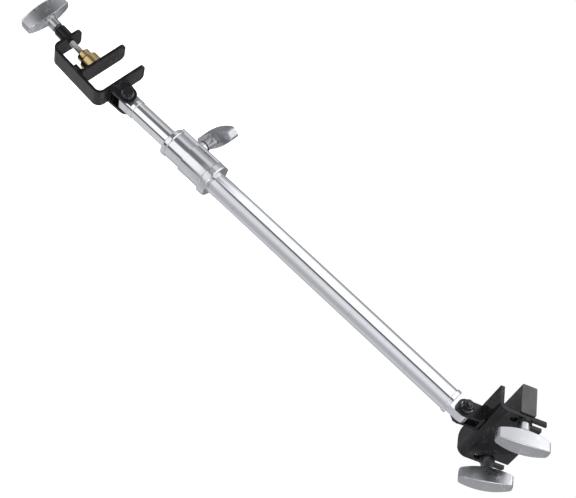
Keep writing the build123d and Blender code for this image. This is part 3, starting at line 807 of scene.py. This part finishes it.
@dataclass
class Studio:
    """Plain pale floor, soft lights and the camera.

    Attributes:
        eye: Place of the camera.
        right: Camera's right.
        up: Camera's up.
        lens: Focal length in millimetres.
        film_width: Width of the film in millimetres.
        far: Farthest that the camera sees, in metres.
        floor_gap: Floor below the lowest point of the object.
        floor_radius: Radius of the floor.
        floor_tone: Tone of its paint.
        floor_glow: Light that the floor gives by itself.
        floor_roughness: Lowest roughness of the floor and how much more its clouds add.
        tent_radius: Radius of the tent.
        tent_height: Height of the tent.
        tent_rise: Middle of the tent above the object's lowest point.
        tent_tint: Blue of the cloth, against its red and green.
        upper_bands: Tone of the tent's upper cloth by degrees from +X.
        lower_bands: Tone of its lower cloth by degrees from +X.
        band_change: Heights between which the lower cloth gives way to the upper.
        lamps: The lamps.
        target: What the lamps point at.
        sky_glow: Light of the sky.
        sky_seen: How much brighter the sky is where the camera sees it.
    """

    eye: tuple[float, float, float] = (-0.6777, 1.4350, 0.6622)
    right: tuple[float, float, float] = (0.7146, 0.1823, 0.6754)
    up: tuple[float, float, float] = (0.5542, 0.4416, -0.7056)
    lens: float = 81.57
    film_width: float = 36.0
    far: float = 100.0
    floor_gap: float = 0.001
    floor_radius: float = 60.0
    floor_tone: float = 0.9
    floor_glow: float = 0.57
    floor_roughness: tuple[float, float] = (0.75, 0.1)
    tent_radius: float = 0.5
    tent_height: float = 3.2
    tent_rise: float = 0.4
    tent_tint: float = 1.03
    upper_bands: tuple[tuple[float, float], ...] = (
        (0.0, 0.8), (20.0, 1.3), (86.0, 1.3), (92.0, 0.1), (101.0, 0.12), (108.0, 0.75), (130.0, 0.95),
        (150.0, 0.8), (172.0, 0.52), (200.0, 0.52), (236.0, 0.72), (262.0, 0.55), (285.0, 0.2), (310.0, 0.22),
        (335.0, 0.3), (350.0, 0.5),
    )
    lower_bands: tuple[tuple[float, float], ...] = (
        (0.0, 0.45), (22.0, 0.5), (38.0, 0.85), (55.0, 0.8), (64.0, 0.22), (94.0, 0.2), (103.0, 1.3),
        (149.0, 1.3), (156.0, 0.1), (166.0, 0.1), (175.0, 0.7), (230.0, 0.75), (268.0, 0.45), (290.0, 0.2),
        (330.0, 0.4),
    )
    band_change: tuple[float, float] = (0.02, 0.1)
    lamps: tuple[Lamp, ...] = (
        Lamp("key", (-0.9, 0.9, 1.7), 0.7, 16.0),
        Lamp("side", (1.6, 0.7, 0.9), 0.9, 14.0),
        Lamp("back", (0.3, -1.7, 1.2), 1.0, 16.0),
    )
    target: tuple[float, float, float] = (0.02, 0.0, 0.3)
    sky_glow: float = 0.5
    sky_seen: float = 0.5

    def camera(self) -> None:
        """Place the camera."""
        data = bpy.data.cameras.new("camera")
        data.lens = self.lens
        data.sensor_width = self.film_width
        data.clip_end = self.far
        holder = bpy.data.objects.new("camera", data)
        bpy.context.scene.collection.objects.link(holder)
        right, up = Vector(self.right).normalized(), Vector(self.up)
        up = (up - right * up.dot(right)).normalized()
        back = right.cross(up)
        turn = Matrix((right, up, back)).transposed().to_4x4()
        holder.matrix_world = Matrix.Translation(self.eye) @ turn
        bpy.context.scene.camera = holder

    def floor(self) -> None:
        """Lay the floor."""
        clear_selection()
        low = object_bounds()[0][2] - self.floor_gap
        bpy.ops.mesh.primitive_circle_add(vertices=96, radius=self.floor_radius, fill_type="NGON",
                                          location=(0, 0, low))
        ground = bpy.context.object
        ground.name = "floor"
        material = bpy.data.materials.new("floor_paint")
        material.use_nodes = True
        tree = material.node_tree
        shader = tree.nodes["Principled BSDF"]
        place = tree.nodes.new("ShaderNodeTexCoord")
        cloud = noise_node(tree, place.outputs["Object"], 1.5, 3.0)
        base, spread = self.floor_roughness
        rough = math_node(tree, "ADD", math_node(tree, "MULTIPLY", cloud, spread), base)
        tree.links.new(rough, shader.inputs["Roughness"])
        shader.inputs["Base Color"].default_value = (*[self.floor_tone] * 3, 1.0)
        shader.inputs["Specular IOR Level"].default_value = 0.0
        shader.inputs["Emission Color"].default_value = (1.0, 1.0, 1.0, 1.0)
        shader.inputs["Emission Strength"].default_value = self.floor_glow
        ground.data.materials.append(material)
        ground.visible_glossy = False
        ground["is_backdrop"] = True

    def bands(self, tree: Tree, turn: Socket, bands: tuple[tuple[float, float], ...]) -> Socket:
        """Paint a row of cloth round the tent.

        Args:
            tree: Tree of the cloth's material.
            turn: Turns from +X, 0 to 1.
            bands: Degrees and tone of each point of the row.

        Returns:
            The row's colour.
        """
        ramp = tree.nodes.new("ShaderNodeValToRGB")
        tree.links.new(turn, ramp.inputs["Fac"])
        while len(ramp.color_ramp.elements) < len(bands):
            ramp.color_ramp.elements.new(1.0)
        for element, (degrees, tone) in zip(ramp.color_ramp.elements, bands):
            element.position = degrees / 360.0
            element.color = (tone, tone, tone * self.tent_tint, 1.0)
        return ramp.outputs["Color"]

    def cloth_paint(self) -> bpy.types.Material:
        """Make the tent's cloth.

        Returns:
            A material that glows in bands.
        """
        material = bpy.data.materials.new("tent_cloth")
        material.use_nodes = True
        tree = material.node_tree
        tree.nodes.remove(tree.nodes["Principled BSDF"])
        place = tree.nodes.new("ShaderNodeTexCoord")
        split = tree.nodes.new("ShaderNodeSeparateXYZ")
        tree.links.new(place.outputs["Object"], split.inputs["Vector"])
        angle = math_node(tree, "ARCTAN2", split.outputs["Y"], split.outputs["X"])
        turns = math_node(tree, "ADD", math_node(tree, "DIVIDE", angle, math.tau), 1.0)
        turn = math_node(tree, "FRACT", turns, 0.0)
        mix = tree.nodes.new("ShaderNodeMix")
        mix.data_type = "RGBA"
        tree.links.new(ramp_node(tree, split.outputs["Z"], *self.band_change), mix.inputs["Factor"])
        for bands, socket in ((self.lower_bands, "A"), (self.upper_bands, "B")):
            tree.links.new(self.bands(tree, turn, bands), mix.inputs[socket])
        glow = tree.nodes.new("ShaderNodeEmission")
        tree.links.new(mix.outputs["Result"], glow.inputs["Color"])
        tree.links.new(glow.outputs["Emission"], tree.nodes["Material Output"].inputs["Surface"])
        return material

    def tent(self) -> None:
        """Stand a round tent of pale and dark cloth about the object, seen only in its reflections."""
        clear_selection()
        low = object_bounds()[0][2]
        bpy.ops.mesh.primitive_cylinder_add(vertices=128, radius=self.tent_radius,
                                            depth=self.tent_height, end_fill_type="NOTHING",
                                            location=(0, 0, low + self.tent_rise))
        cloth = bpy.context.object
        cloth.name = "light_tent"
        bpy.ops.object.transform_apply(location=True, rotation=True, scale=True)
        cloth.data.materials.append(self.cloth_paint())
        cloth.visible_camera = False
        cloth.visible_diffuse = False
        cloth.visible_shadow = False
        cloth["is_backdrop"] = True

    def world(self) -> None:
        """Surround the object with an even sky, pale where it is seen and softer where it lights."""
        world = bpy.data.worlds.new("studio")
        world.use_nodes = True
        bpy.context.scene.world = world
        tree = world.node_tree
        sky = tree.nodes["Background"]
        sky.inputs["Strength"].default_value = 1.0
        path = tree.nodes.new("ShaderNodeLightPath")
        seen = math_node(tree, "MULTIPLY", path.outputs["Is Camera Ray"], self.sky_seen)
        tone = math_node(tree, "ADD", seen, self.sky_glow)
        tint = tree.nodes.new("ShaderNodeCombineColor")
        for channel in ("Red", "Green", "Blue"):
            tree.links.new(tone, tint.inputs[channel])
        tree.links.new(tint.outputs["Color"], sky.inputs["Color"])

    def build(self) -> None:
        """Set up the whole studio."""
        bpy.context.scene.view_settings.view_transform = "Standard"
        self.camera()
        self.floor()
        self.tent()
        for lamp in self.lamps:
            lamp.hang(Vector(self.target))
        self.world()


def build_clamp_screw(dressing: Dressing) -> None:
    """Replace the plain clamp screw by one with a cut thread.

    Args:
        dressing: Finishes to dress it from.
    """
    low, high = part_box("clamp_screw")
    rod = ThreadedRod((high[0] - low[0]) / 2, high[2] - low[2]).build()
    piece = settle(rod, Matrix.Translation((0, 0, low[2])), "clamp_screw_threaded")
    dressing.add(piece, "steel", Body.CLAMP_SCREW, "clamp_screw")


def build_pivot_bolts(dressing: Dressing) -> None:
    """Replace both pivot bolts by ones with heads and threads in full.

    Args:
        dressing: Finishes to dress them from.
    """
    for bolt in (PivotBolt("seat_pivot_bolt", "seat_pivot", Body.FRAME, True),
                 PivotBolt("beam_pivot_bolt", "beam_pivot", Body.BEAM_CLAMP, False)):
        dressing.add(bolt.build(), "black_bolt", bolt.body, bolt.node)


def main() -> None:
    """Build everything in order."""
    logging.basicConfig(level=logging.INFO, format="%(message)s")
    dressing = Dressing()
    dressing.dress()
    build_clamp_screw(dressing)
    build_pivot_bolts(dressing)
    Studio().build()


if __name__ == "__main__":
    main()
